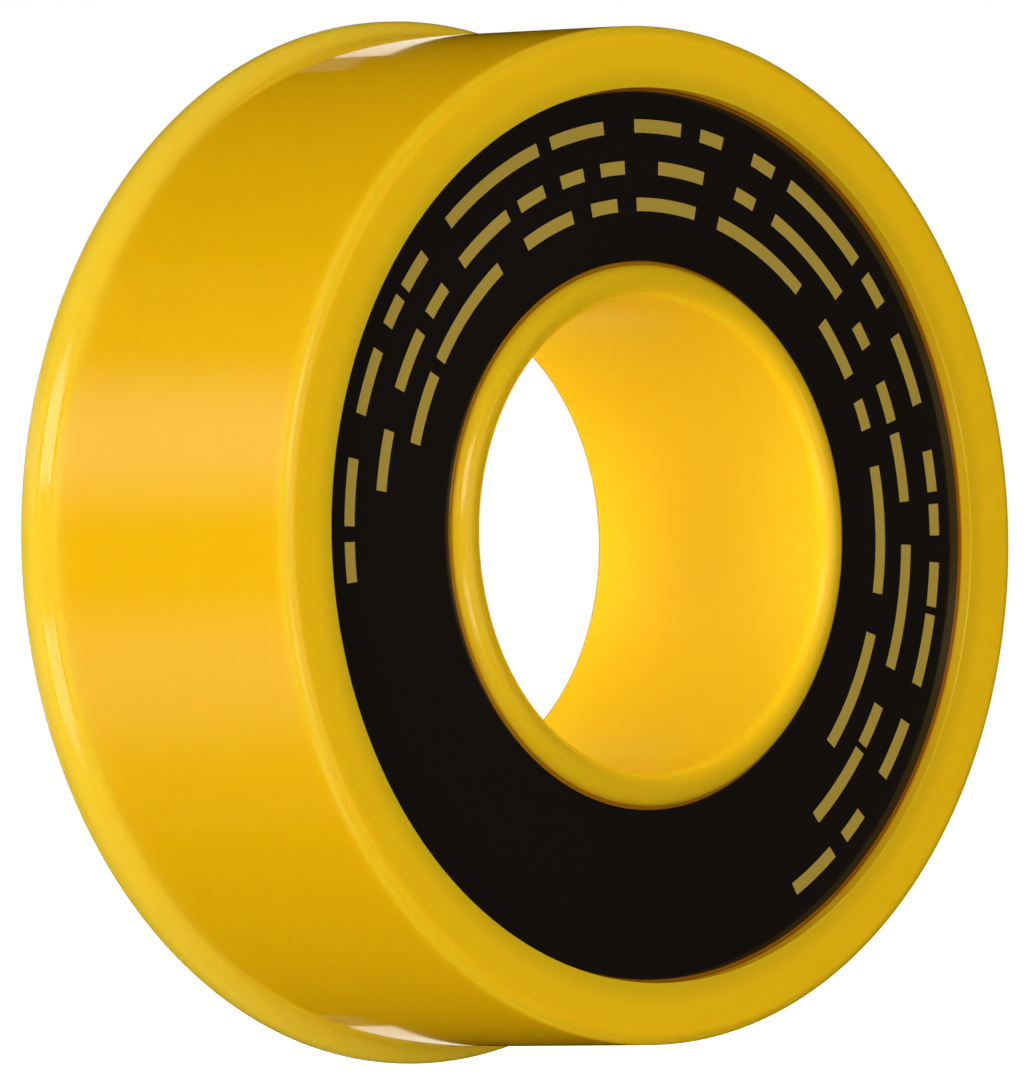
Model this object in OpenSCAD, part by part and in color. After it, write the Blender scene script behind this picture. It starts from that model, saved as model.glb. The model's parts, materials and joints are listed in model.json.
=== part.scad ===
// Thread seal tape roll: a moulded case round a bore tube, and a spool of tape that pulls out of its back.
// Each piece is drawn lying on its back, axis upright, and on_edge() stands the roll on its rim.
// The case takes its width from the tape, and the spool takes its diameters from the case.

/* [Case] */
// Diameter of the skirt at the front
skirt_d = 46.8; // [44:0.1:70]
// How much the skirt widens towards the back, on the diameter
skirt_draft = 0.2; // [0:0.05:0.4]
// Wall of the skirt and of the front disc
case_wall = 0.9; // [0.7:0.05:1.1]
// Rounding of the front edge
front_round = 0.6; // [0.3:0.05:0.7]
// Width of the flat ring round the label's recess
ring_w = 2.85; // [2.2:0.05:4]
// Depth of the label's recess
recess_depth = 0.8; // [0.78:0.01:1]

/* [Collar] */
// How far the collar stands out from the skirt
collar_step = 0.8; // [0.65:0.05:1.2]
// Height of the collar's straight side
collar_h = 0.4; // [0.3:0.05:0.6]
// Wall of the collar
collar_wall = 0.7; // [0.6:0.05:0.8]
// Depth of the wide mouth inside the collar
mouth_depth = 0.85; // [0.7:0.05:0.9]
// Rounding of the collar's back edge
collar_round = 0.25; // [0.1:0.05:0.3]
// Dome of the collar's front edge
collar_edge = 1.0; // [0.8:0.05:1.2]
// Hollow fillet where the collar meets the skirt
collar_fillet = 0.9; // [0.8:0.05:1.2]

/* [Bore] */
// Diameter of the bore
bore_d = 21.8; // [15:0.1:24]
// Wall of the bore tube
tube_wall = 0.85; // [0.7:0.05:1]
// Thickness of the rounded lip round the bore
lip_t = 1.55; // [1.2:0.05:1.55]
// How far the tube ends short of the collar's back
tube_setback = 1.4; // [1.3:0.05:1.7]
// Rounding of the tube's back edge
tube_round = 0.6; // [0.2:0.05:0.65]

/* [Spool] */
// Gap on each side between the hub and the bore tube
running_gap = 0.05; // [0.03:0.01:0.09]
// Wall of the hub
hub_wall = 0.9; // [0.7:0.05:1.2]
// Gap between the flange and the skirt
flange_gap = 0.4; // [0.3:0.05:0.8]
// Thickness of the flange
flange_t = 0.9; // [0.7:0.05:1.2]
// How far the flange sits in from the collar's back
flange_setback = 1.2; // [1.1:0.05:1.3]
// Rounding of the flange's front edge
flange_round = 0.3; // [0.1:0.05:0.33]
// Thickness of the flange's rim, which fills the collar's mouth
rim_t = 0.5; // [0.45:0.05:0.5]
// Gap between the rim and the wall of the mouth
rim_gap = 0.3; // [0.25:0.05:0.4]
// Gap between the rim and the floor of the mouth
rim_lift = 0.2; // [0.1:0.05:0.2]
// Rounding of the rim's edges
rim_round = 0.2; // [0.1:0.05:0.2]
// Gap between the front of the spool and the front disc
spool_gap = 0.2; // [0.1:0.05:0.5]

/* [Tape] */
// Width of the tape
tape_w = 12.7; // [9:0.1:26]
// Thickness of one turn as wound
tape_t = 0.1; // [0.07:0.01:0.2]
// Gap between an edge of the tape and the flange, or the end of the hub
tape_gap = 0.05; // [0.02:0.01:0.2]
// How far the flange stands out past a full winding
winding_margin = 2.83; // [1:0.01:4]

/* [Labels] */
// Thickness of a label
label_t = 0.12; // [0.05:0.01:0.2]
// Gap between a label and the edges round it
label_gap = 0.15; // [0.05:0.05:0.5]

/* [Hidden] */
$fn = 180;
// Points on a quarter round
ROUND_STEPS = 6;
// Corners round one turn of the tape
TAPE_STEPS = 180;
// Length by which a cutting shape passes what it cuts
PAST = 5;

// Radii of the case, from the skirt inwards and outwards
skirt_r = skirt_d / 2;
skirt_back_r = (skirt_d + skirt_draft) / 2;
collar_r = skirt_back_r + collar_step;
recess_r = skirt_r - ring_w;
bore_r = bore_d / 2;
tube_r = bore_r + tube_wall;

// Angle at which the dome of the collar's front edge turns into the fillet
shoulder_a = acos(1 - collar_step / (collar_edge + collar_fillet));

// Radii of the spool and its winding
hub_bore_r = tube_r + running_gap;
hub_r = hub_bore_r + hub_wall;
flange_r = skirt_r - case_wall - flange_gap;
dish_r = flange_r - flange_t;
rim_r = collar_r - collar_wall - rim_gap;
tape_r = flange_r - winding_margin;

// Heights above the back of the collar, from the collar through the spool and the tape to the front
shoulder_z = collar_h + (collar_edge + collar_fillet) * sin(shoulder_a);
rim_z = mouth_depth - rim_lift;
flange_z = flange_setback + flange_t;
tape_z = flange_z + tape_gap;
hub_front_z = tape_z + tape_w + tape_gap;
disc_z = hub_front_z + spool_gap;
floor_z = disc_z + case_wall;
case_w = floor_z + recess_depth;

// Points of an arc about c from angle a0 to angle a1
function arc(c, r, a0, a1, steps = ROUND_STEPS) =
    [for (i = [0:steps]) let (a = a0 + (a1 - a0) * i / steps) c + r * [cos(a), sin(a)]];

// Outer outline of the case, from the back of the collar round the front to the bore
function case_outside() = concat(
    arc([collar_r - collar_round, collar_round], collar_round, -90, 0),
    arc([collar_r - collar_edge, collar_h], collar_edge, 0, shoulder_a),
    arc([skirt_back_r + collar_fillet, shoulder_z], collar_fillet, 180 + shoulder_a, 180),
    arc([skirt_r - front_round, case_w - front_round], front_round, 0, 90),
    [[recess_r, case_w], [recess_r, floor_z], [bore_r + lip_t, floor_z]],
    arc([bore_r + lip_t / 2, case_w - lip_t / 2], lip_t / 2, 0, 180, 2 * ROUND_STEPS),
    arc([bore_r + tube_round, tube_setback + tube_round], tube_round, 180, 270)
);

// Inner outline of the case, from the end of the tube round the hollow to the mouth
function case_inside() = [
    [tube_r, tube_setback],
    [tube_r, disc_z],
    [recess_r + case_wall, disc_z],
    [recess_r + case_wall, case_w - case_wall],
    [skirt_r - case_wall, case_w - case_wall],
    [skirt_back_r - case_wall, mouth_depth],
    [collar_r - collar_wall, mouth_depth],
    [collar_r - collar_wall, 0]
];

// A flat ring lying at height z
module ring(r_in, r_out, z, t) {
    translate([0, 0, z])
        rotate_extrude()
            translate([r_in, 0]) square([r_out - r_in, t]);
}

// Stands the roll on its rim, front face towards -Y, with the middle of its width at Y = 0
module on_edge() {
    translate([0, case_w / 2, collar_r])
        rotate([90, 0, 0])
            children();
}

module case() {
    color("gold") on_edge() rotate_extrude() polygon(concat(case_outside(), case_inside()));
}

module spool() {
    color("goldenrod") on_edge() rotate_extrude() polygon(concat(
        [[hub_bore_r, flange_setback], [dish_r, flange_setback], [dish_r, rim_z - rim_t]],
        arc([rim_r - rim_round, rim_z - rim_t + rim_round], rim_round, -90, 0),
        arc([rim_r - rim_round, rim_z - rim_round], rim_round, 0, 90),
        [[flange_r, rim_z]],
        arc([flange_r - flange_round, flange_z - flange_round], flange_round, 0, 90),
        [[hub_r, flange_z], [hub_r, hub_front_z], [hub_bore_r, hub_front_z]]
    ));
}

// The winding's outer turn is a spiral that drops by one thickness at the free end
module tape() {
    color("khaki") on_edge() translate([0, 0, tape_z]) difference() {
        linear_extrude(tape_w)
            polygon([for (i = [0:TAPE_STEPS]) let (turn = i / TAPE_STEPS, a = 360 * turn)
                (tape_r - tape_t * turn) * [cos(a), sin(a)]]);
        translate([0, 0, -PAST]) cylinder(r = hub_r, h = tape_w + 2 * PAST);
    }
}

module front_label() {
    color("black") on_edge() ring(bore_r + lip_t + label_gap, recess_r - label_gap, floor_z, label_t);
}

module back_label() {
    color("black") on_edge()
        ring(hub_r + label_gap, dish_r - label_gap, flange_setback - label_t, label_t);
}

case();
spool();
tape();
front_label();
back_label();
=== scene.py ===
# %% [markdown]
# # A roll of thread seal tape
# Plumbers wrap this tape round pipe threads. The roll is a ring-shaped case moulded in translucent yellow
# plastic. A spool of tape fills the case from the back, a printed film ring covers the front, and a wide
# bore goes through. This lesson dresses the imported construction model: it rebuilds each piece as a smooth
# surface with numpy, gives it a procedural finish, and sets up the camera and the lights. Everything
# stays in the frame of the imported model.

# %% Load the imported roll
import json
import math

import bmesh
import bpy
import numpy as np
from mathutils import Matrix, Vector


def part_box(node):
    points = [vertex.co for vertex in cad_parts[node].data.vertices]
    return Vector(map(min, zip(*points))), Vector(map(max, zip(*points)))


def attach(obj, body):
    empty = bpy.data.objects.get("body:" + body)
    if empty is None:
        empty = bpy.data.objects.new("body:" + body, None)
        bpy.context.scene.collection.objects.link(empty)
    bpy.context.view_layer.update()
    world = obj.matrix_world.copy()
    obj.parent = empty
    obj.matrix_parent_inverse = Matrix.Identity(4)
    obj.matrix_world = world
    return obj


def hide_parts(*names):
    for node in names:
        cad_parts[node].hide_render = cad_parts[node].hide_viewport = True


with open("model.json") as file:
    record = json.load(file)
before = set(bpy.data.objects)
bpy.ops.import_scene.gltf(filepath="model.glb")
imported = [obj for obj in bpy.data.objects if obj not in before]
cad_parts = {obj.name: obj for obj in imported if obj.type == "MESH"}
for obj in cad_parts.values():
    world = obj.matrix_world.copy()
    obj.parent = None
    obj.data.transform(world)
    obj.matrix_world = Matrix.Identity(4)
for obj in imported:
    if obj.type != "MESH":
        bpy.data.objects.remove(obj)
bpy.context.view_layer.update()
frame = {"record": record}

# %% [markdown]
# ## Sizes
# A fitted surface should not repeat numbers that the frame already holds, so the outer sizes are read
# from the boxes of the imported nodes. They are kept in millimetres, the unit in which such a moulding is
# drawn, and MM turns them into Blender's metres at the last moment. The roll stands on its rim, so its
# axis lies along Y at height axis_z. A place on the roll is a radius r, an angle a about the axis, and a
# height u above the back of the case.

# %% Sizes of the roll
MM = 0.001


def box_mm(node):
    """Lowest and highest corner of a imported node, in millimetres."""
    return [np.array(corner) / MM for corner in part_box(node)]


def ring_size(node):
    """Outer radius of a ring-shaped node, and the heights u of its back and front."""
    low, high = box_mm(node)
    return (high[0] - low[0]) / 2, half_w - high[1], half_w - low[1]


case_low, case_high = box_mm("case")
half_w = (case_high[1] - case_low[1]) / 2
axis_z = (case_high[2] + case_low[2]) / 2
collar_r, back_u, front_u = ring_size("case")
rim_r, rim_back_u, hub_front_u = ring_size("spool")
tape_r, tape_back_u, tape_front_u = ring_size("tape")
label_r, label_back_u, label_front_u = ring_size("front_label")
rear_label_r, rear_label_back_u, flange_back_u = ring_size("back_label")
mounts = {mount["name"]: mount for mount in frame["record"]["mounts"]}
bore_r = mounts["peg_bore"]["dims"]["r_mm"]
print(f"roll {2 * collar_r:.1f} mm across, {front_u - back_u:.1f} mm wide, bore {2 * bore_r:.1f} mm")

# %% Walls, steps and rounds of the mouldings
skirt_draft = 0.1
collar_step = 0.8
collar_h = 0.4
collar_wall = 0.7
collar_round = 0.25
collar_edge = 1.0
collar_fillet = 0.9
mouth_depth = 0.85
case_wall = 0.9
front_round = 0.6
ring_w = 2.85
label_gap = 0.15
lip_t = 1.55
tube_wall = 0.85
tube_setback = 1.4
tube_round = 0.6
running_gap = 0.05
hub_wall = 0.9
flange_gap = 0.4
flange_t = 0.9
flange_round = 0.3
rim_t = 0.5
rim_round = 0.2
tape_t = 0.1

skirt_back_r = collar_r - collar_step
skirt_r = skirt_back_r - skirt_draft
recess_r = skirt_r - ring_w
floor_u = label_back_u
disc_u = floor_u - case_wall
tube_r = bore_r + tube_wall
hub_bore_r = tube_r + running_gap
hub_r = hub_bore_r + hub_wall
flange_r = skirt_r - case_wall - flange_gap
dish_r = flange_r - flange_t
flange_front_u = flange_back_u + flange_t
rim_front_u = rim_back_u + rim_t
lean = math.acos(1 - collar_step / (collar_edge + collar_fillet))
shoulder_u = collar_h + (collar_edge + collar_fillet) * math.sin(lean)
print(f"skirt {2 * skirt_r:.1f} mm, recess {2 * recess_r:.1f} mm, hub {2 * hub_r:.1f} mm")

# %% [markdown]
# ## Outlines and lathe surfaces
# Every piece of this roll was turned or moulded about one axis, so one idea makes them all: draw half the
# cross section as an outline of (r, u) points, and carry it round the axis. A modifier such as Screw
# could do it, but a numpy grid leaves each point where a formula puts it, and lets the outline change
# with the angle.

# %% Helpers for outlines
SAME_POINT = 1e-6


def arc(centre, radius, start, end, steps=8):
    """Points centre + radius (cos t, sin t), with t running from start to end in degrees."""
    t = np.radians(np.linspace(start, end, steps + 1))
    return np.array(centre) + radius * np.stack([np.cos(t), np.sin(t)], axis=1)


def line(start, end, steps=1):
    """Points start + s (end - start), with s running from 0 to 1 in equal steps."""
    s = np.linspace(0, 1, steps + 1)[:, None]
    return np.array(start) + s * (np.array(end) - np.array(start))


def chain(*parts):
    """One outline from several runs of points, with a point dropped where it repeats the one before."""
    points = np.concatenate([np.atleast_2d(part) for part in parts])
    step = np.linalg.norm(np.diff(points, axis=0), axis=1)
    return points[np.concatenate([[True], step > SAME_POINT])]


# %% Helpers for lathe surfaces
TURN_STEPS = 288
MERGE = 0.0005 * MM


def around(outline, angles):
    """Grid of points, in metres: outline point (r, u) at angle a goes to
    (r cos a, half_w - u, axis_z + r sin a)."""
    r, u = outline[None, :, 0], outline[None, :, 1]
    a = np.asarray(angles)[:, None]
    parts = r * np.cos(a), half_w - u, axis_z + r * np.sin(a)
    return np.stack(np.broadcast_arrays(*parts), axis=-1) * MM


def quads(rows, columns, wrap_rows=False, wrap_columns=True):
    """Corner numbers of the quads that join neighbours on a grid, joined end to end where it wraps."""
    i, j = np.meshgrid(
        np.arange(rows if wrap_rows else rows - 1),
        np.arange(columns if wrap_columns else columns - 1),
        indexing="ij",
    )
    after_i, after_j = (i + 1) % rows, (j + 1) % columns
    corners = [(i, j), (after_i, j), (after_i, after_j), (i, after_j)]
    return np.stack([row * columns + column for row, column in corners], axis=-1).reshape(-1, 4)


def lathe(outline):
    """Patch of a closed outline carried once round the axis, where its end meets its start."""
    grid = around(outline, np.linspace(0, 2 * math.pi, TURN_STEPS, endpoint=False))
    return grid.reshape(-1, 3), quads(*grid.shape[:2], wrap_rows=True)


def make_piece(name, patches, material, body, nodes, sharp=None):
    """One object from patches of (points, faces): doubles merged, faces turned outwards, shaded smooth
    except at edges that turn by more than sharp degrees, where that is given."""
    firsts = np.cumsum([0] + [len(points) for points, _ in patches])
    points = np.concatenate([points for points, _ in patches])
    faces = np.concatenate([faces + first for (_, faces), first in zip(patches, firsts)])
    mesh = bpy.data.meshes.new(name)
    mesh.from_pydata(points, [], faces)
    shell = bmesh.new()
    shell.from_mesh(mesh)
    bmesh.ops.remove_doubles(shell, verts=shell.verts, dist=MERGE)
    bmesh.ops.recalc_face_normals(shell, faces=shell.faces)
    shell.to_mesh(mesh)
    open_edges = sum(not edge.is_manifold for edge in shell.edges)
    shell.free()
    mesh.shade_smooth()
    if sharp:
        mesh.set_sharp_from_angle(angle=math.radians(sharp))
    piece = bpy.data.objects.new(name, mesh)
    bpy.context.scene.collection.objects.link(piece)
    piece.data.materials.append(material)
    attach(piece, body)
    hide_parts(*nodes)
    print(name, len(mesh.polygons), "faces,", open_edges, "open edges")
    return piece


def soften(piece, width, segments=2, limit=35):
    """Rounds the piece's sharp corners, as a mould's do, with a live Bevel of that width in millimetres."""
    bevel = piece.modifiers.new("corner rounds", "BEVEL")
    bevel.width = width * MM
    bevel.segments = segments
    bevel.limit_method = "ANGLE"
    bevel.angle_limit = math.radians(limit)
    bevel.harden_normals = True


# %% [markdown]
# ## Finishes as node graphs
# A finish is a small graph of nodes that ends in a Principled shader. Writing it with a helper keeps each
# finish short: every method adds one node and hands back its output. The polar method turns Object
# coordinates into the roll's own radius, height and angle, so a finish can follow the rim, the skirt or a
# turn of tape without any unwrapping.

# %% A helper that draws node graphs
class Finish:
    """A material whose graph is drawn one node at a time."""

    def __init__(self, name):
        self.material = bpy.data.materials.new(name)
        self.material.use_nodes = True
        self.tree = self.material.node_tree
        self.shader = self.tree.nodes["Principled BSDF"]

    def feed(self, socket, value):
        """Links an output to the socket, or sets the socket's own value."""
        if isinstance(value, bpy.types.NodeSocket):
            self.tree.links.new(value, socket)
        else:
            socket.default_value = value

    def add(self, kind, inputs, output=0, **settings):
        """Adds one node, sets its properties and feeds its inputs, given by name or number."""
        node = self.tree.nodes.new("ShaderNode" + kind)
        for key, value in settings.items():
            setattr(node, key, value)
        for key, value in inputs.items():
            self.feed(node.inputs[key], value)
        return node.outputs[output]

    def math(self, operation, *values):
        """One arithmetic step on numbers or outputs."""
        return self.add("Math", dict(enumerate(values)), operation=operation)

    def ease(self, value, low, high):
        """Rises smoothly from 0 at low to 1 at high."""
        inputs = {"Value": value, "From Min": low, "From Max": high}
        return self.add("MapRange", inputs, interpolation_type="SMOOTHSTEP")

    def mix(self, share, first, second):
        """Colour that goes from first to second as share goes from 0 to 1."""
        return self.add("MixRGB", {"Fac": share, "Color1": first, "Color2": second})

    def noise(self, vector, scale, detail=2.0):
        """Cloudy pattern around 0.5, with that many cells to a metre."""
        return self.add("TexNoise", {"Vector": vector, "Scale": scale, "Detail": detail})

    def bump(self, height, strength, distance):
        """Surface tilt from a height pattern, where distance is its depth in metres."""
        return self.add("Bump", {"Height": height, "Strength": strength, "Distance": distance})

    def place(self):
        """Object coordinates."""
        return self.add("TexCoord", {}, output="Object")

    def polar(self):
        """Radius and height u in millimetres, and the angle in radians, of the shaded point on the roll."""
        split = self.tree.nodes.new("ShaderNodeSeparateXYZ")
        self.feed(split.inputs[0], self.place())
        x, y, z = split.outputs
        rise = self.math("SUBTRACT", z, axis_z * MM)
        square = self.math("ADD", self.math("MULTIPLY", x, x), self.math("MULTIPLY", rise, rise))
        radius = self.math("DIVIDE", self.math("SQRT", square), MM)
        height = self.math("SUBTRACT", half_w, self.math("DIVIDE", y, MM))
        return radius, height, self.math("ARCTAN2", rise, x)

    def set(self, **inputs):
        """Feeds the shader's sockets, whose names are given with underscores."""
        for key, value in inputs.items():
            self.feed(self.shader.inputs[key.replace("_", " ")], value)


# %% [markdown]
# ## The case's plastic
# The case is polypropylene with a yellow dye, about a millimetre thick. Light goes a little way in, so it
# looks deep orange over the dark inside, yellow on the front ring, and pale lemon at the collar, where
# light also comes in from the side. Real subsurface light does part of that. The rest is a colour that
# eases from one place to the next with height and radius, and each mask below is 1 in one such place; on
# the collar that colour is partly the thin wall's own paler tone and partly painted light. The front edge
# and a band beside the recess get a darker yellow, which is painted shade, and the round of the lip gets
# the same darker yellow. The foot of the recess is painted shade in deep brown. A faint cloud in the
# colour, the gloss and the surface stands for the flow marks of a cheap moulding.

# %% Finish of the case
ORANGE = (0.85, 0.460, 0.0025, 1.0)
YELLOW = (0.93, 0.545, 0.0072, 1.0)
# Lemon of the collar: partly the thin wall's own paler tone, partly painted light
LEMON = (0.76, 0.520, 0.0280, 1.0)
# Darker yellow: painted shade on the front edge and beside the recess, and the darker tone of the lip's
# round
DARK_YELLOW_AND_SHADE = (0.72, 0.455, 0.0085, 1.0)
AMBER = (0.96, 0.600, 0.0105, 1.0)
# Painted shade, deep brown, for the foot of the recess
RECESS_SHADE_BROWN = (0.40, 0.130, 0.0015, 1.0)
YELLOW_REACH = (1.0, 0.5, 0.08)
POLYPROPYLENE_IOR = 1.49

# Distances in millimetres that set where the masks fade
TUBE_FADE = 1.0
COLLAR_FADE = 0.8
FRONT_FADE = 0.1
LIP_NEAR, LIP_FAR = 0.1, 0.5
EDGE_IN = 0.2
BRINK_W = 1.2
FOOT_LOW, FOOT_HIGH = 0.08, 0.28
FOOT_IN, FOOT_OUT = 0.1, 0.3

# Cells to a metre of the flow marks and of the grain, their share in the colour, and roughness by place
FLOW_CELLS, GRAIN_CELLS = 160.0, 900.0
FLOW_SHARE = 0.16
SKIRT_GLOSS, FLOW_GLOSS = 0.04, 0.04
BORE_SATIN, PALE_SATIN, EDGE_SATIN = 0.24, 0.10, 0.12


def case_finish():
    """Orange on the skirt, amber in the bore, yellow on the front ring, a darker yellow on the round of the
    lip and, as painted shade, on the front edge and beside the recess, lemon along the collar, partly as
    painted light, and painted shade in deep brown at the foot of the recess."""
    paint = Finish("case_plastic")
    radius, height, _ = paint.polar()
    lip_r = bore_r + lip_t
    outside = paint.ease(radius, tube_r, tube_r + TUBE_FADE)
    # The collar's lemon: partly the thin wall's own tone, partly painted light that comes in from the side
    at_back = paint.ease(height, shoulder_u + COLLAR_FADE, collar_h + COLLAR_FADE / 2)
    collar = paint.math("MULTIPLY", outside, at_back)
    at_front = paint.ease(height, floor_u - 2 * FRONT_FADE, front_u - FRONT_FADE)
    front = paint.math("MULTIPLY", outside, at_front)
    raised = paint.ease(height, front_u - lip_t, front_u)
    near_lip = paint.ease(radius, lip_r + LIP_FAR, lip_r + LIP_NEAR)
    past_bore = paint.ease(radius, bore_r, bore_r + lip_t / 2)
    lip = paint.math("MULTIPLY", paint.math("MULTIPLY", raised, near_lip), past_bore)
    pale = paint.math("MAXIMUM", front, lip)
    # The front edge: the darker yellow it gets is painted shade
    turning = paint.ease(height, front_u - front_round - EDGE_IN, front_u - EDGE_IN)
    edge = paint.math("MULTIPLY", turning, paint.ease(radius, skirt_r - front_round, skirt_r - EDGE_IN))
    # A band of the ring beside the recess: painted shade, a darker yellow that fades outwards
    brink_shade = paint.math("MULTIPLY", front, paint.ease(radius, recess_r + BRINK_W, recess_r))
    cloud = paint.noise(paint.place(), FLOW_CELLS, detail=3.0)
    drift = paint.math("MULTIPLY", paint.math("SUBTRACT", cloud, 0.5), FLOW_SHARE)
    backed = paint.mix(paint.math("ADD", pale, drift), ORANGE, YELLOW)
    # Painted shade: deep brown at the foot of the recess, on its floor and at the foot of the lip
    sunk = paint.math("MULTIPLY", outside, paint.ease(height, floor_u + FOOT_HIGH, floor_u + FOOT_LOW))
    recess = paint.math("MULTIPLY", sunk, paint.ease(radius, recess_r + FOOT_OUT, recess_r + FOOT_IN))
    bore = paint.math("MULTIPLY", paint.math("SUBTRACT", 1.0, outside), paint.math("SUBTRACT", 1.0, lip))
    satin = paint.math("MULTIPLY_ADD", bore, BORE_SATIN, paint.math("MULTIPLY", pale, PALE_SATIN))
    satin = paint.math("MULTIPLY_ADD", edge, EDGE_SATIN, satin)
    lined = paint.mix(bore, backed, AMBER)
    # Darker yellow on the lip's round, and painted shade on the front edge and beside the recess
    painted_shade_and_lip = paint.math("MAXIMUM", brink_shade, paint.math("MAXIMUM", lip, edge))
    rounded = paint.mix(painted_shade_and_lip, lined, DARK_YELLOW_AND_SHADE)
    paint.set(
        Base_Color=paint.mix(recess, paint.mix(collar, rounded, LEMON), RECESS_SHADE_BROWN),
        Roughness=paint.math("ADD", satin, paint.math("MULTIPLY_ADD", cloud, FLOW_GLOSS, SKIRT_GLOSS)),
        Normal=paint.bump(paint.noise(paint.place(), GRAIN_CELLS), strength=0.03, distance=0.01 * MM),
        Subsurface_Weight=0.5,
        Subsurface_Radius=YELLOW_REACH,
        Subsurface_Scale=1.2 * MM,
        IOR=POLYPROPYLENE_IOR,
    )
    return paint.material


case_plastic = case_finish()
print("finish", case_plastic.name)

# %% [markdown]
# ## The case
# The case is one moulding: a smooth skirt with a collar at its back, a flat front ring, a sunk floor for
# the label, a half-round lip and the tube of the bore. One closed outline gives them all. The collar
# swells out of the skirt in a smooth S: a round arc and a hollow one that meet where both lean at the
# same angle. Corners that the mould leaves sharp get a small live Bevel, so that they catch a thin line
# of light.

# %% Outline of the case
# Plain stretches beside the rounds, in millimetres
CORNER_RUN = 0.4
RING_RUN = 0.3
lean_degrees = math.degrees(lean)


def skirt_at(u, inset=0.0):
    """Point of the drafted skirt at height u: its radius grows evenly from front to back, less the inset."""
    share = (front_u - u) / (front_u - shoulder_u)
    return [skirt_r + skirt_draft * share - inset, u]


case_outline = chain(
    [collar_r - collar_wall, mouth_depth],
    [collar_r - collar_wall, back_u],
    arc([collar_r - collar_round, back_u + collar_round], collar_round, -90, 0),
    arc([collar_r - collar_edge, collar_h], collar_edge, 0, lean_degrees, steps=12),
    arc([skirt_back_r + collar_fillet, shoulder_u], collar_fillet, 180 + lean_degrees, 180, steps=12),
    line(skirt_at(shoulder_u + CORNER_RUN), skirt_at(front_u - front_round - CORNER_RUN), steps=18),
    arc([skirt_r - front_round, front_u - front_round], front_round, 0, 90, steps=12),
    line([skirt_r - front_round - RING_RUN, front_u], [recess_r + RING_RUN, front_u], steps=3),
    [recess_r, front_u],
    [recess_r, floor_u],
    [bore_r + lip_t, floor_u],
    arc([bore_r + lip_t / 2, front_u - lip_t / 2], lip_t / 2, 0, 180, steps=24),
    line(
        [bore_r, front_u - lip_t / 2 - CORNER_RUN],
        [bore_r, tube_setback + tube_round + CORNER_RUN],
        steps=12,
    ),
    arc([bore_r + tube_round, tube_setback + tube_round], tube_round, 180, 270),
    [tube_r, tube_setback],
    line([tube_r, tube_setback + CORNER_RUN], [tube_r, disc_u], steps=8),
    [recess_r + case_wall, disc_u],
    [recess_r + case_wall, front_u - case_wall],
    [skirt_r - case_wall, front_u - case_wall],
    line(
        skirt_at(front_u - case_wall - CORNER_RUN, inset=case_wall),
        skirt_at(mouth_depth, inset=case_wall),
        steps=14,
    ),
)
print("points on the case's outline:", len(case_outline))

# %% Case mesh
CORNER_ROUND = 0.13
case = make_piece("case_shell", [lathe(case_outline)], case_plastic, "case", ["case"])
soften(case, CORNER_ROUND)

# %% [markdown]
# ## The spool
# The spool is a second moulding that slides over the bore tube: a thin hub to wind on, and a dished
# flange whose rim fills the collar's mouth. It is a plain lathe surface with its edges rounded, in a
# paler mix of the same plastic.

# %% Finish of the spool
SPOOL_YELLOW = (0.90, 0.52, 0.012, 1.0)
SPOOL_PALE = (0.92, 0.62, 0.035, 1.0)
SPOOL_CELLS = 140.0
SPOOL_SHARE = 0.2
SPOOL_GLOSS, SPOOL_CLOUD = 0.30, 0.12
MOULD_RING = 0.35


def spool_finish():
    """Yellow plastic, paler towards the flange's rim, with faint rings from the turned mould."""
    paint = Finish("spool_plastic")
    radius, _, _ = paint.polar()
    cloud = paint.noise(paint.place(), SPOOL_CELLS, detail=3.0)
    rim = paint.ease(radius, dish_r, rim_r)
    drift = paint.math("MULTIPLY", paint.math("SUBTRACT", cloud, 0.5), SPOOL_SHARE)
    share = paint.math("ADD", rim, drift)
    rings = paint.math("SINE", paint.math("MULTIPLY", radius, 2 * math.pi / MOULD_RING))
    paint.set(
        Base_Color=paint.mix(share, SPOOL_YELLOW, SPOOL_PALE),
        Roughness=paint.math("ADD", SPOOL_GLOSS, paint.math("MULTIPLY", cloud, SPOOL_CLOUD)),
        Normal=paint.bump(rings, strength=0.10, distance=0.004 * MM),
        Subsurface_Weight=0.2,
        Subsurface_Radius=YELLOW_REACH,
        Subsurface_Scale=0.7 * MM,
        IOR=POLYPROPYLENE_IOR,
    )
    return paint.material


spool_plastic = spool_finish()
print("finish", spool_plastic.name)

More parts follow.
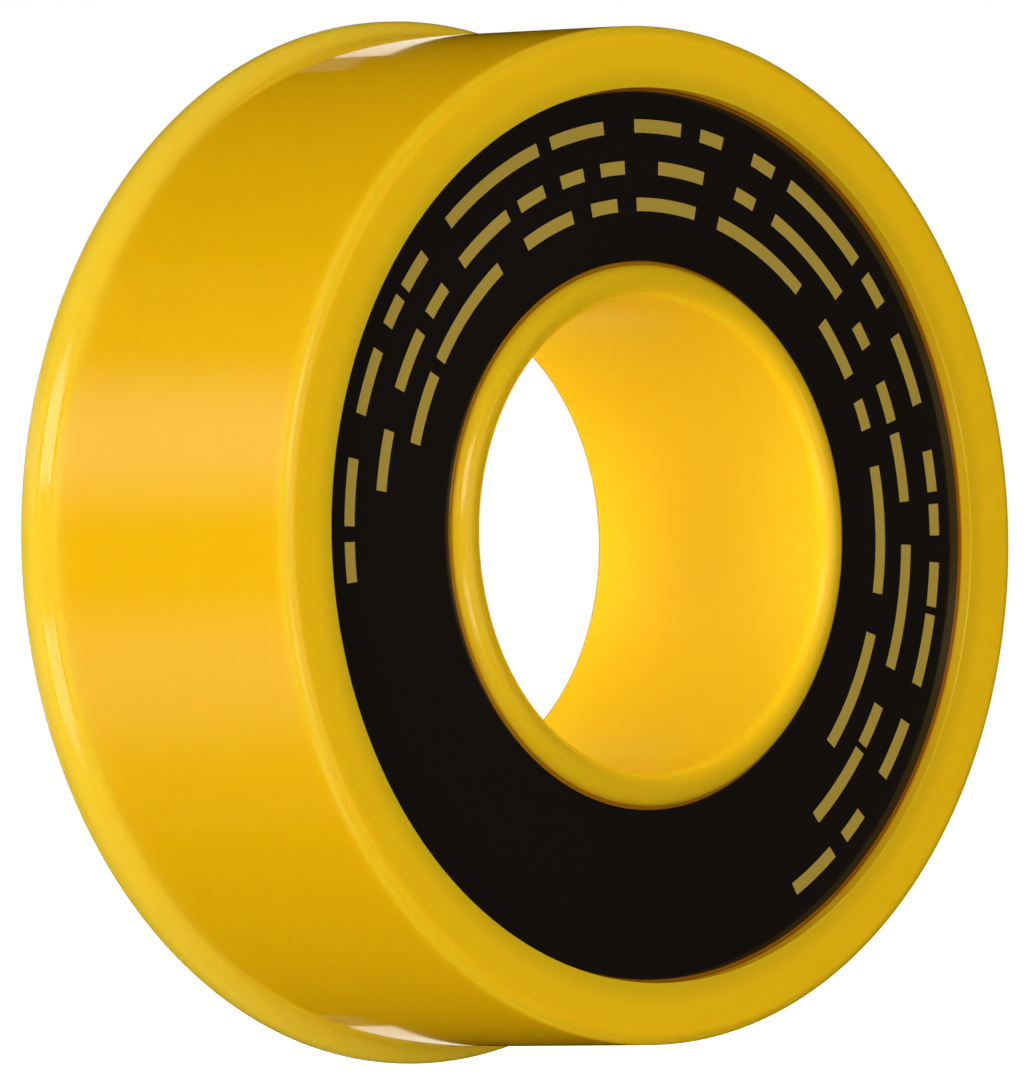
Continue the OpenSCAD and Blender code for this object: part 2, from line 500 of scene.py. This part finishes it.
# %% Spool mesh
EDGE_ROUND = 0.25
RIM_RUN = 0.2
FLANGE_RUN = 0.5
BORE_RUN = 1.0
spool_outline = chain(
    arc([hub_bore_r + EDGE_ROUND, flange_back_u + EDGE_ROUND], EDGE_ROUND, 180, 270, steps=4),
    line([hub_r, flange_back_u], [dish_r - FLANGE_RUN, flange_back_u], steps=6),
    arc([dish_r - EDGE_ROUND, flange_back_u - EDGE_ROUND], EDGE_ROUND, 90, 0, steps=4),
    arc([dish_r + EDGE_ROUND, rim_back_u + EDGE_ROUND], EDGE_ROUND, 180, 270, steps=4),
    arc([rim_r - rim_round, rim_back_u + rim_round], rim_round, -90, 0, steps=6),
    arc([rim_r - rim_round, rim_front_u - rim_round], rim_round, 0, 90, steps=6),
    line([rim_r - rim_round - RIM_RUN, rim_front_u], [flange_r + RIM_RUN, rim_front_u], steps=2),
    [flange_r, rim_front_u],
    [flange_r, rim_front_u + RIM_RUN],
    arc([flange_r - flange_round, flange_front_u - flange_round], flange_round, 0, 90, steps=6),
    line([flange_r - flange_round - FLANGE_RUN, flange_front_u], [hub_r, flange_front_u], steps=6),
    line(
        [hub_r, flange_front_u + FLANGE_RUN],
        [hub_r, hub_front_u - EDGE_ROUND - CORNER_RUN],
        steps=6,
    ),
    arc([hub_r - EDGE_ROUND, hub_front_u - EDGE_ROUND], EDGE_ROUND, 0, 90, steps=4),
    arc([hub_bore_r + EDGE_ROUND, hub_front_u - EDGE_ROUND], EDGE_ROUND, 90, 180, steps=4),
    line([hub_bore_r, hub_front_u - BORE_RUN], [hub_bore_r, flange_back_u + BORE_RUN], steps=6),
)
make_piece("spool_body", [lathe(spool_outline)], spool_plastic, "spool", ["spool"])

# %% [markdown]
# ## The tape
# The tape is one strip of soft film about a tenth of a millimetre thick, wound in a tight spiral. Its
# edges show as fine rings that never line up quite evenly, and its free end makes a small step on the
# outside. The surface is worked out turn by turn: a turn's radius falls steadily with the angle, and its
# edge lies in by a small amount that changes from turn to turn. After one time round, the section has
# shrunk by one thickness, so a last strip joins its end to its start and closes the surface.

# %% Finish of the tape
FILM_YELLOW = (0.88, 0.66, 0.13, 1.0)
FILM_PALE = (0.93, 0.78, 0.28, 1.0)
STREAK_STRETCH = 0.6
STREAK_CELLS = 5.0
STREAK_LOW, STREAK_HIGH = 0.3, 0.7
FILM_GLOSS, STREAK_GLOSS = 0.38, 0.2
FILM_REACH = (1.0, 0.8, 0.4)


def tape_finish():
    """Satin film with streaks along its length, and fine ridges that mark the turns on its sides."""
    paint = Finish("tape_film")
    radius, height, angle = paint.polar()
    length = paint.math("MULTIPLY", angle, STREAK_STRETCH)
    stretched = paint.add("CombineXYZ", {0: length, 1: height, 2: radius})
    streaks = paint.noise(stretched, STREAK_CELLS, detail=4.0)
    turns = paint.math("SINE", paint.math("MULTIPLY", radius, math.pi / tape_t))
    paint.set(
        Base_Color=paint.mix(paint.ease(streaks, STREAK_LOW, STREAK_HIGH), FILM_YELLOW, FILM_PALE),
        Roughness=paint.math("ADD", FILM_GLOSS, paint.math("MULTIPLY", streaks, STREAK_GLOSS)),
        Normal=paint.bump(paint.math("ADD", streaks, turns), strength=0.15, distance=0.01 * MM),
        Subsurface_Weight=0.25,
        Subsurface_Radius=FILM_REACH,
        Subsurface_Scale=0.3 * MM,
        Sheen_Weight=0.1,
        IOR=1.36,
    )
    return paint.material


tape_film = tape_finish()
print("finish", tape_film.name)

# %% Tape mesh
TAPE_STEPS = 180
EDGE_SWAY = 0.05
SWAY_TURN = 1.7
EDGE_DRAW = 0.02
TAPE_CREASE = 60
tape_turns = round((tape_r - hub_r) / tape_t)
turn_angle = np.linspace(0, 2 * math.pi, TAPE_STEPS + 1)
outside_r = tape_r - tape_t * turn_angle / (2 * math.pi)


def winding_side(face_u, inward):
    """One side of the winding: turn k at angle a has r = hub_r + (outside_r - hub_r) k / turns, and its
    edge lies in from face_u by up to EDGE_SWAY, as the sine of an angle that differs from turn to turn."""
    k = np.arange(tape_turns + 1)[None, :]
    a = turn_angle[:, None]
    r = hub_r + (outside_r[:, None] - hub_r) * k / tape_turns
    sway = EDGE_SWAY * (0.5 + 0.5 * np.sin(SWAY_TURN * k * k + (1 + k % 3) * a))
    return np.stack([r, face_u + inward * sway, a + 0 * r], axis=-1)


def winding_outside(steps=16):
    """Outer turn between its two edges, with s from 0 to 1 across it: the radius is that of the spiral,
    drawn in by EDGE_DRAW (2 s - 1)^6 towards the edges."""
    s = np.linspace(0, 1, steps + 1)[None, :]
    back = winding_side(tape_back_u, 1)[:, -1:, 1]
    front = winding_side(tape_front_u, -1)[:, -1:, 1]
    r = outside_r[:, None] - EDGE_DRAW * (2 * s - 1) ** 6
    return np.stack([r, back + (front - back) * s, turn_angle[:, None] + 0 * s], axis=-1)


def placed(grid):
    """Patch of a grid of (r, u, a) points: each goes to (r cos a, half_w - u, axis_z + r sin a)."""
    r, u, a = np.moveaxis(grid, -1, 0)
    points = np.stack([r * np.cos(a), half_w - u, axis_z + r * np.sin(a)], axis=-1) * MM
    return points.reshape(-1, 3), quads(*grid.shape[:2], wrap_columns=False)


back_side = winding_side(tape_back_u, 1)
front_side = winding_side(tape_front_u, -1)
outer_turn = winding_outside()
back_side[:, -1] = outer_turn[:, 0]
front_side[:, -1] = outer_turn[:, -1]
core = np.stack([front_side[:, 0], back_side[:, 0]], axis=1)
section = np.concatenate([back_side, outer_turn[:, 1:-1], front_side[:, ::-1]], axis=1)
free_end = section[[-1, 0]]
make_piece(
    "tape_winding", [placed(grid) for grid in (back_side, outer_turn, front_side, core, free_end)],
    tape_film, "spool", ["tape"], sharp=TAPE_CREASE,
)

# %% [markdown]
# ## The labels
# Both labels are rings of dark printed film. The front one lies in the recess of the case, the back one
# on the flange. The print is plain: rows of gold dashes round the ring. It is drawn in the finish,
# because ink has a colour and no shape. A row is a narrow band of radius, and its dashes come from a
# one-dimensional noise along the row.

# %% Finish of the labels
FILM_BLACK = (0.0090, 0.0068, 0.0052, 1.0)
INK_GOLD = (0.42, 0.29, 0.045, 1.0)
DASH_LENGTH = 2.6
DASH_LEVEL = 0.44
ROW_SHIFT = 31.7
FRONT_ROWS = [(18.8, -63, 186), (16.9, -52, 172), (15.2, -45, 163)]
REAR_ROWS = [(19.4, 20, 160), (19.4, 200, 250), (17.6, 20, 160), (17.6, 200, 250)]
ROW_HEIGHT = 0.62
SPLIT_ANGLE = -110
LABEL_CELLS = 2600.0
LABEL_GLOSS, GRAIN_GLOSS = 0.12, 0.10


def label_finish(name, rows):
    """Black film with gold dashes in rows of (radius, first angle, last angle), in millimetres and degrees.
    The angles run once round, from SPLIT_ANGLE to SPLIT_ANGLE + 360."""
    paint = Finish(name)
    radius, _, angle = paint.polar()
    split = math.radians(SPLIT_ANGLE)
    turned = paint.math("WRAP", angle, split + 2 * math.pi, split)
    ink = 0.0
    for number, (row_r, first, last) in enumerate(rows):
        off = paint.math("ABSOLUTE", paint.math("SUBTRACT", radius, row_r))
        within = paint.math("LESS_THAN", off, ROW_HEIGHT / 2)
        started = paint.math("GREATER_THAN", turned, math.radians(first))
        unfinished = paint.math("LESS_THAN", turned, math.radians(last))
        along = paint.math("MULTIPLY_ADD", turned, row_r / DASH_LENGTH, ROW_SHIFT * (number + 1))
        wave = paint.add("TexNoise", {"W": along, "Scale": 1.0, "Detail": 0.0}, noise_dimensions="1D")
        dashes = paint.math("GREATER_THAN", wave, DASH_LEVEL)
        stretch = paint.math("MULTIPLY", started, unfinished)
        row = paint.math("MULTIPLY", paint.math("MULTIPLY", within, dashes), stretch)
        ink = paint.math("MAXIMUM", ink, row)
    grain = paint.noise(paint.place(), LABEL_CELLS)
    paint.set(
        Base_Color=paint.mix(ink, FILM_BLACK, INK_GOLD),
        Roughness=paint.math("ADD", LABEL_GLOSS, paint.math("MULTIPLY", grain, GRAIN_GLOSS)),
        Normal=paint.bump(grain, strength=0.04, distance=0.006 * MM),
        IOR=1.47,
    )
    return paint.material


# %% Label meshes
LABEL_RUN = 0.6
LABEL_EDGE = 0.4


def label_ring(inner_r, outer_r, low_u, high_u):
    """Outline of a flat ring with softly rounded edges."""
    edge = LABEL_EDGE * (high_u - low_u)
    return chain(
        [inner_r, low_u],
        [outer_r, low_u],
        arc([outer_r - edge, high_u - edge], edge, 0, 90, steps=4),
        line([outer_r - LABEL_RUN, high_u], [inner_r + LABEL_RUN, high_u], steps=6),
        arc([inner_r + edge, high_u - edge], edge, 90, 180, steps=4),
    )


front_outline = label_ring(bore_r + lip_t + label_gap, label_r, label_back_u, label_front_u)
make_piece(
    "front_label_film", [lathe(front_outline)],
    label_finish("front_label_print", FRONT_ROWS), "case", ["front_label"],
)
rear_outline = label_ring(hub_r + label_gap, rear_label_r, -flange_back_u, -rear_label_back_u)
rear_outline[:, 1] *= -1
make_piece(
    "back_label_film", [lathe(rear_outline)],
    label_finish("back_label_print", REAR_ROWS), "spool", ["back_label"],
)

# %% [markdown]
# ## Camera
# The picture was taken with a long lens, level with the roll's axis and about 45 degrees round from its
# front, and it is tipped by under two degrees. Blender's lens length belongs to the longer side of the
# picture, here its height. The camera looks a little to the side of the roll, so that the centre of the
# front face lands on its own pixel.

# %% Camera
IMAGE_W, IMAGE_H = 1031, 1080
FACE_CENTRE_PX = (657.6, 535.0)
CAMERA_AZIMUTH = math.radians(-44.507)
CAMERA_ROLL = math.radians(-1.704)
CAMERA_DISTANCE = 0.7345
SENSOR = 36.0
LENS = 533.7
CLIP_NEAR, CLIP_FAR = 0.05, 20.0

face_centre = np.array([0.0, -half_w, axis_z]) * MM
toward_camera = np.array([math.sin(CAMERA_AZIMUTH), -math.cos(CAMERA_AZIMUTH), 0.0])
camera_at = face_centre + CAMERA_DISTANCE * toward_camera
level_right = np.array([math.cos(CAMERA_AZIMUTH), math.sin(CAMERA_AZIMUTH), 0.0])
upright = np.array([0.0, 0.0, 1.0])
tipped_right = math.cos(CAMERA_ROLL) * level_right + math.sin(CAMERA_ROLL) * upright
tipped_up = math.cos(CAMERA_ROLL) * upright - math.sin(CAMERA_ROLL) * level_right
pixel = CAMERA_DISTANCE * SENSOR / (LENS * IMAGE_H)
aim = face_centre - (FACE_CENTRE_PX[0] - IMAGE_W / 2) * pixel * tipped_right
aim = aim - (IMAGE_H / 2 - FACE_CENTRE_PX[1]) * pixel * tipped_up

backward = (camera_at - aim) / np.linalg.norm(camera_at - aim)
camera_right = np.cross(tipped_up, backward)
camera_right = camera_right / np.linalg.norm(camera_right)
camera_up = np.cross(backward, camera_right)
camera_turn = Matrix(np.stack([camera_right, camera_up, backward], axis=1).tolist())
camera = bpy.data.objects.new("camera", bpy.data.cameras.new("camera"))
bpy.context.scene.collection.objects.link(camera)
camera.matrix_world = Matrix.Translation(camera_at) @ camera_turn.to_4x4()
camera.data.lens = LENS
camera.data.sensor_width = SENSOR
camera.data.clip_start = CLIP_NEAR
camera.data.clip_end = CLIP_FAR
bpy.context.scene.camera = camera
print(f"one pixel shows {pixel / MM:.4f} mm at the front face")

# %% [markdown]
# ## Floor and light
# The picture has a clear white surround, so the floor glows a little to stay white and the sky shows
# white. A studio lights a glossy thing with two kinds of tool, and so does this lesson. Soft boxes give
# the even light: they are left out of reflections. Cards give the reflections: they glow faintly and only
# glossy surfaces see them. Everything else around the roll is dark, which is why its top and bottom turn
# a deep brown. Five soft boxes stand on the camera's side, and two smaller ones keep the back and the
# right side from going black in other views.

# %% Floor
FLOOR_REACH = 3.0
FLOOR_GLOW = 1.02
WHITE = (1.0, 1.0, 1.0, 1.0)
PAPER_GREY = (0.80, 0.80, 0.80, 1.0)
PAPER_PALE = (0.84, 0.84, 0.84, 1.0)
PAPER_CELLS = 40.0


def floor_finish():
    """Pale matt floor with a glow that keeps it near white."""
    paint = Finish("floor_paper")
    cloud = paint.noise(paint.place(), PAPER_CELLS)
    paint.set(
        Base_Color=paint.mix(cloud, PAPER_GREY, PAPER_PALE),
        Roughness=0.9,
        Emission_Color=WHITE,
        Emission_Strength=FLOOR_GLOW,
        Specular_IOR_Level=0.0,
    )
    return paint.material


floor_mesh = bpy.data.meshes.new("floor")
floor_corners = FLOOR_REACH * np.array([(-1, -1, 0), (1, -1, 0), (1, 1, 0), (-1, 1, 0)])
floor_mesh.from_pydata(floor_corners, [], [(0, 1, 2, 3)])
floor = bpy.data.objects.new("floor", floor_mesh)
bpy.context.scene.collection.objects.link(floor)
floor.data.materials.append(floor_finish())
floor.visible_diffuse = False
floor.visible_glossy = False
floor.visible_shadow = False
print("floor", 2 * FLOOR_REACH, "m wide")

# %% Sky
SKY_LIGHT = 0.0
world = bpy.data.worlds.new("studio")
bpy.context.scene.world = world
world.use_nodes = True
sky = world.node_tree.nodes["Background"]
sky.inputs["Color"].default_value = WHITE
seen = world.node_tree.nodes.new("ShaderNodeLightPath")
strength = world.node_tree.nodes.new("ShaderNodeMapRange")
strength.inputs["To Min"].default_value = SKY_LIGHT
strength.inputs["To Max"].default_value = 1.0
world.node_tree.links.new(seen.outputs["Is Camera Ray"], strength.inputs["Value"])
world.node_tree.links.new(strength.outputs[0], sky.inputs["Strength"])
bpy.context.scene.view_settings.view_transform = "Standard"
print("sky: white to the camera, light", SKY_LIGHT)

# %% Soft boxes
LIGHT_DISTANCE = 0.6
roll_middle = np.array([0.0, 0.0, axis_z]) * MM


def toward(left, rise):
    """Unit vectors that point left degrees round from the camera and rise degrees up."""
    turn = CAMERA_AZIMUTH - np.radians(left)
    tilt = np.radians(rise)
    parts = np.sin(turn) * np.cos(tilt), -np.cos(turn) * np.cos(tilt), np.sin(tilt)
    return np.stack(np.broadcast_arrays(*parts), axis=-1)


def hang_lamp(lamp, aim, outward):
    """Hangs a lamp LIGHT_DISTANCE from the point aim, along the unit vector outward, and turns it to face
    that point. Neither the camera nor a glossy surface sees it."""
    light = bpy.data.objects.new(lamp.name, lamp)
    bpy.context.scene.collection.objects.link(light)
    light.location = aim + LIGHT_DISTANCE * outward
    light.rotation_euler = Vector(outward).to_track_quat("Z", "Y").to_euler()
    light.visible_camera = False
    light.visible_glossy = False
    print(f"lamp {lamp.name}: {lamp.energy:.2f} W")


def soft_box(name, left, rise, width, height, watts):
    """Area light that faces the roll from left degrees round from the camera and rise degrees up."""
    lamp = bpy.data.lights.new(name, "AREA")
    lamp.shape = "RECTANGLE"
    lamp.size = width
    lamp.size_y = height
    lamp.energy = watts
    hang_lamp(lamp, roll_middle, toward(left, rise))


# Name, degrees left of the camera, degrees up, width and height in metres, watts
SOFT_BOXES = [
    ("key_high", 25, 46, 0.30, 0.22, 1.35),
    ("key_low", 25, -42, 0.30, 0.22, 1.5),
    ("side_high", 60, 48, 0.30, 0.22, 1.22),
    ("side_low", 60, -46, 0.30, 0.22, 1.4),
    ("front_fill", -25, 5, 0.30, 0.30, 2.4),
    ("back_fill", 135.5, 0, 0.20, 0.20, 1.6),
    ("right_fill", -134.5, 6, 0.20, 0.20, 1.4),
]
for box in SOFT_BOXES:
    soft_box(*box)

# %% [markdown]
# ## Light into the bore
# The wall of the bore is the brightest part of the picture, and most soft boxes can't reach into it. A
# small spot lamp next to the camera can: its cone is about as wide as the bore, and it fades all the way
# from its middle to its rim, so no edge of it shows.

# %% Soft spot into the bore
SPOT_LEFT, SPOT_RISE = 2, 2
SPOT_Y = -0.5
SPOT_REACH = 10.5
SPOT_SOURCE = 0.003
SPOT_WATTS = 2.6
spot_lamp = bpy.data.lights.new("bore_spot", "SPOT")
spot_lamp.energy = SPOT_WATTS
spot_lamp.spot_size = 2 * math.atan(SPOT_REACH * MM / LIGHT_DISTANCE)
spot_lamp.spot_blend = 1.0
spot_lamp.shadow_soft_size = SPOT_SOURCE
hang_lamp(spot_lamp, np.array([bore_r, SPOT_Y, axis_z]) * MM, toward(SPOT_LEFT, SPOT_RISE))

# %% [markdown]
# ## Cards
# Gloss needs something to mirror, so each highlight has a card of its own. Two soft stripes run along the
# skirt. They are the mirror image of a curved card on the left, which is brightest in two bands above and
# below the level of the axis. Two cards beside the camera give the round edges of the collar and of the
# front their thin lights, and a faint card on the right does the same for the lip. All of them are
# patches of one sphere round the roll.

# %% Card helpers
STUDIO_WHITE = (1.0, 0.97, 0.92, 1.0)


def card_finish(name, colour, strength, pattern=None):
    """Glow of a card: an even strength, or the strength times a pattern that is worked out from the rise
    in degrees, as seen from the middle of the roll."""
    paint = Finish(name)
    if pattern:
        split = paint.tree.nodes.new("ShaderNodeSeparateXYZ")
        paint.feed(split.inputs[0], paint.place())
        x, y, z = split.outputs
        up = paint.math("SUBTRACT", z, axis_z * MM)
        square = paint.math("ADD", paint.math("MULTIPLY", x, x), paint.math("MULTIPLY", y, y))
        rise = paint.math("DEGREES", paint.math("ARCTAN2", up, paint.math("SQRT", square)))
        strength = paint.math("MULTIPLY", pattern(paint, rise), strength)
    paint.set(
        Base_Color=(0.0, 0.0, 0.0, 1.0),
        Specular_IOR_Level=0.0,
        Emission_Color=colour,
        Emission_Strength=strength,
    )
    return paint.material


def band(paint, value, span):
    """Rises from 0 to 1 between the first two numbers of the span, and falls back between the last two."""
    start, full, fading, end = span
    return paint.math("MULTIPLY", paint.ease(value, start, full), paint.ease(value, end, fading))


def dome_grid(lefts, rises):
    """Grid on the sphere of radius LIGHT_DISTANCE about the roll's middle, at every pair of a turn left of
    the camera and a rise, in degrees."""
    return roll_middle + LIGHT_DISTANCE * toward(lefts[:, None], rises[None, :])


def card(name, grid, material):
    """Sheet through a grid of points that only glossy surfaces see."""
    mesh = bpy.data.meshes.new(name)
    mesh.from_pydata(grid.reshape(-1, 3), [], quads(*grid.shape[:2], wrap_columns=False))
    sheet = bpy.data.objects.new(name, mesh)
    bpy.context.scene.collection.objects.link(sheet)
    sheet.data.materials.append(material)
    sheet.visible_camera = False
    sheet.visible_diffuse = False
    sheet.visible_transmission = False
    sheet.visible_shadow = False
    print("card", name, len(mesh.polygons), "faces")
    return sheet


# %% Curved card on the left
HIGH_SPAN, HIGH_BAND = (2.0, 16.0, 19.0, 31.0), 1.1
LOW_SPAN, LOW_BAND = (4.0, 16.0, 20.0, 34.0), 0.55
CARD_GLOW = 0.04
STRIPE_LEFTS, STRIPE_RISES = np.linspace(35, 135, 41), np.linspace(-40, 40, 33)


def stripes(paint, rise):
    """A soft band above the level, a fainter one below it, and a faint even glow."""
    drop = paint.math("MULTIPLY", rise, -1.0)
    low = paint.math("MULTIPLY_ADD", band(paint, drop, LOW_SPAN), LOW_BAND, CARD_GLOW)
    return paint.math("MULTIPLY_ADD", band(paint, rise, HIGH_SPAN), HIGH_BAND, low)


stripe_grid = dome_grid(STRIPE_LEFTS, STRIPE_RISES)
card("stripe_card", stripe_grid, card_finish("stripe_glow", STUDIO_WHITE, 1.0, stripes))

# %% Cards beside the camera
BEAM_SPAN = (8.0, 13.0, 24.0, 34.0)
BEAM_WHITE = (1.0, 0.97, 0.90, 1.0)
BEAM_LEFTS, BEAM_RISES = np.linspace(-16, 16, 9), np.linspace(6, 36, 16)

# Name, side, glow
BEAMS = [("beam_high", 1, 4.0), ("beam_low", -1, 2.8)]


def beam(paint, rise):
    """One soft band, as far above the level as below it."""
    return band(paint, paint.math("ABSOLUTE", rise), BEAM_SPAN)


for name, side, glow in BEAMS:
    beam_grid = dome_grid(BEAM_LEFTS, side * BEAM_RISES)
    card(name, beam_grid, card_finish(name + "_glow", BEAM_WHITE, glow, beam))

# %% Card on the right
FLANK_FULL, FLANK_END = 8.0, 24.0
FLANK_GLOW = 0.55
FLANK_LEFTS, FLANK_RISES = np.linspace(-72, -22, 13), np.linspace(-FLANK_END, FLANK_END, 13)


def flank(paint, rise):
    """Even near the level, and fading out above and below it."""
    return paint.ease(paint.math("ABSOLUTE", rise), FLANK_END, FLANK_FULL)


flank_grid = dome_grid(FLANK_LEFTS, FLANK_RISES)
card("flank_card", flank_grid, card_finish("flank_glow", STUDIO_WHITE, FLANK_GLOW, flank))

# %% [markdown]
# ## Cards behind the roll
# Near the collar the skirt is seen at a glancing angle, where any gloss turns into a mirror, and white
# cards behind the roll show as a neat patch at the top and at the bottom, each with a faint trace next to
# it. Those cards are cut to fit by running light backwards: a line of sight that meets the skirt at angle
# a is mirrored there, and the card has a point wherever the mirrored line reaches its distance.

# %% Cards behind the roll, cut to the shape of their mirror images
CARD_DISTANCE = 60.0
CREAM = (1.0, 0.96, 0.84, 1.0)
PATCH_ROWS, PATCH_COLUMNS = 12, 6

# Name, side, first and last degrees before the highest or lowest line, greatest height u, glow
PATCHES = [
    ("patch_high", 1, -2.0, 16.2, 5.6, 1.15),
    ("patch_low", -1, -2.0, 18.0, 4.6, 1.15),
    ("trace_high", 1, 16.2, 21.0, 4.4, 0.16),
    ("trace_low", -1, 18.0, 22.0, 3.4, 0.10),
]


def mirrored_points(side, first, last, front):
    """Points p + t m, where p lies on the skirt from first to last degrees before its highest or lowest
    line, at a height of up to front, and m = 2 (n.v) n - v mirrors the line of sight v in the normal n.
    The distance t takes each point to CARD_DISTANCE behind the roll."""
    angle = side * np.radians(90 + np.linspace(first, last, PATCH_ROWS))[:, None]
    a, u = np.broadcast_arrays(angle, np.linspace(front, 0.0, PATCH_COLUMNS)[None, :])
    normal = np.stack([np.cos(a), 0 * a, np.sin(a)], axis=-1)
    start = skirt_r * normal + np.stack([0 * a, half_w - u, 0 * a + axis_z], axis=-1)
    facing = (normal * toward_camera).sum(axis=-1, keepdims=True)
    mirror = 2 * facing * normal - toward_camera
    depth = -(start * toward_camera).sum(axis=-1, keepdims=True)
    speed = -(mirror * toward_camera).sum(axis=-1, keepdims=True)
    return (start + (CARD_DISTANCE - depth) / speed * mirror) * MM


for name, side, first, last, front, glow in PATCHES:
    card(name, mirrored_points(side, first, last, front), card_finish(name + "_glow", CREAM, glow))

# %% [markdown]
# ## Warm bounce in the bore
# Light that enters the bore from behind turns yellow on its wall before it reaches the eye. A disc that
# glows warm in the end of the tube stands for it. The camera looks straight through the disc, but the
# wall is lit by it.

# %% Warm bounce at the end of the bore
BOUNCE_GOLD = (1.0, 0.85, 0.08, 1.0)
BOUNCE_GLOW = 0.95
BOUNCE_IN = 0.1
BOUNCE_GAP = 0.05
BOUNCE_STEPS = 48
bounce_a = np.linspace(0, 2 * math.pi, BOUNCE_STEPS + 1)
bounce_disc = line([0.0, tube_setback + BOUNCE_IN], [bore_r - BOUNCE_GAP, tube_setback + BOUNCE_IN])
bounce_finish = card_finish("bore_glow", BOUNCE_GOLD, BOUNCE_GLOW)
bounce = card("bore_bounce", around(bounce_disc, bounce_a), bounce_finish)
bounce.visible_diffuse = True
